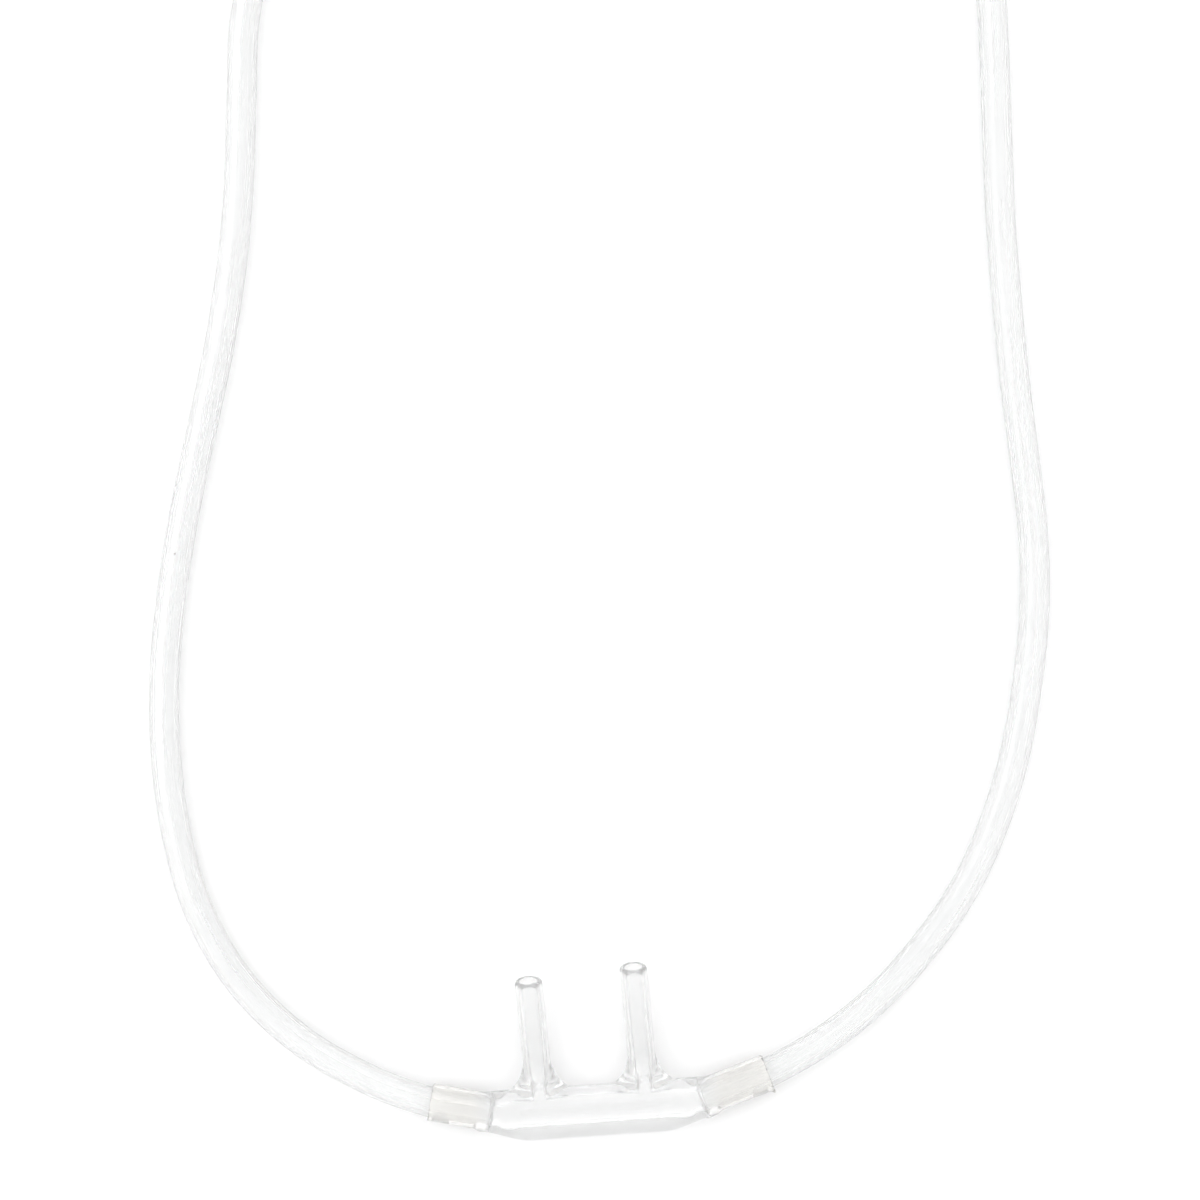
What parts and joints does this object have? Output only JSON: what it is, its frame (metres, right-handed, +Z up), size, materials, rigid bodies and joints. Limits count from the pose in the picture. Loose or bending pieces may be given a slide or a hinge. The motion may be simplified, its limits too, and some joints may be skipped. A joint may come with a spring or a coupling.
{
  "type": "nasal oxygen cannula",
  "caption": "Soft clear nasal oxygen cannula laid flat: two-prong nose piece, over-ear tubes, chin slider, Y connector and a tied coil of supply tube with its funnel connector.",
  "frame": {"origin": "middle of the nose piece's flat underside, on the floor", "axes": "+Z up from the floor, +X along the nose piece, +Y the way the prongs point"},
  "size_m": [0.1229, 0.3216, 0.0289],
  "materials": {
    "moulded_pvc": "clear soft PVC, glossy from the mould",
    "extruded_pvc": "clear soft PVC, slightly milky, satin from the extruder",
    "tie": "white plastic-coated twist tie"
  },
  "bodies": {
    "cannula": {"nose_piece": "moulded_pvc", "left_ear_tube": "extruded_pvc", "right_ear_tube": "extruded_pvc", "y_connector": "moulded_pvc", "supply_tube_lead": "extruded_pvc", "supply_tube_coil": "extruded_pvc", "supply_tube_tail": "extruded_pvc", "funnel_connector": "moulded_pvc", "tie_1": "tie", "tie_2": "tie"},
    "slider": {"slider": "moulded_pvc"}
  },
  "joints": [
    {"name": "slider_slide", "type": "slide", "parent": "cannula", "child": "slider", "axis": [0, 1, 0], "range_m": [0, 0.03]}
  ]
}
